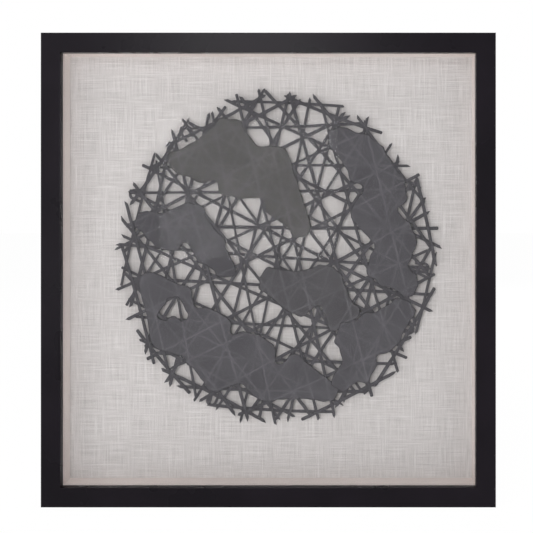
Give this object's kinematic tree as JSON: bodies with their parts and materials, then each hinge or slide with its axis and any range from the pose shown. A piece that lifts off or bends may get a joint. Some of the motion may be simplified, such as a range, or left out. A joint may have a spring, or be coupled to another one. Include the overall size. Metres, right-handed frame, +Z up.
{
  "type": "framed cut paper wall art",
  "caption": "Shadow-box frame, glazed, with a disc of crossed cut paper strips and solid paper patches raised in front of a linen ground.",
  "frame": {"origin": "middle of the bottom edge, halfway through the depth", "axes": "+Z up along the height, front face looks along -Y, +X to the right seen from the front"},
  "size_m": [0.6, 0.0534, 0.626],
  "materials": {
    "black_moulding": "satin black paint",
    "clear_glass": "clear",
    "liner_board": "matt, pale pinkish grey",
    "linen_cloth": "slubby plain weave",
    "grey_board": "matt",
    "foam_board": "matt",
    "strip_paper": "matt dark grey",
    "patch_paper": "matt dark grey",
    "hardboard": "plain",
    "kraft_paper": "matt brown",
    "zinc_steel": "zinc plated",
    "felt": "matt black felt"
  },
  "bodies": {
    "root": {"frame_top_rail": "black_moulding", "frame_bottom_rail": "black_moulding", "frame_left_rail": "black_moulding", "frame_right_rail": "black_moulding", "corner_v_nails": "zinc_steel", "glass_pane": "clear_glass", "box_spacer_top": "liner_board", "box_spacer_bottom": "liner_board", "box_spacer_left": "liner_board", "box_spacer_right": "liner_board", "linen_cover": "linen_cloth", "mount_board": "grey_board", "raising_pads": "foam_board", "paper_strips_layer_1": "strip_paper", "paper_strips_layer_2": "strip_paper", "paper_strips_layer_3": "strip_paper", "paper_strips_layer_4": "strip_paper", "paper_strips_layer_5": "strip_paper", "paper_strips_layer_6": "strip_paper", "paper_strips_layer_7": "strip_paper", "paper_hairpins": "strip_paper", "paper_patch_right": "patch_paper", "paper_patch_lower_left": "patch_paper", "paper_patch_top": "patch_paper", "paper_patch_centre": "patch_paper", "paper_patch_left": "patch_paper", "paper_patch_lower_right": "patch_paper", "back_panel": "hardboard", "retaining_points": "zinc_steel", "dust_cover": "kraft_paper", "keyhole_hangers": "zinc_steel", "hanger_screws": "zinc_steel", "felt_wall_pads": "felt"}
  },
  "joints": []
}
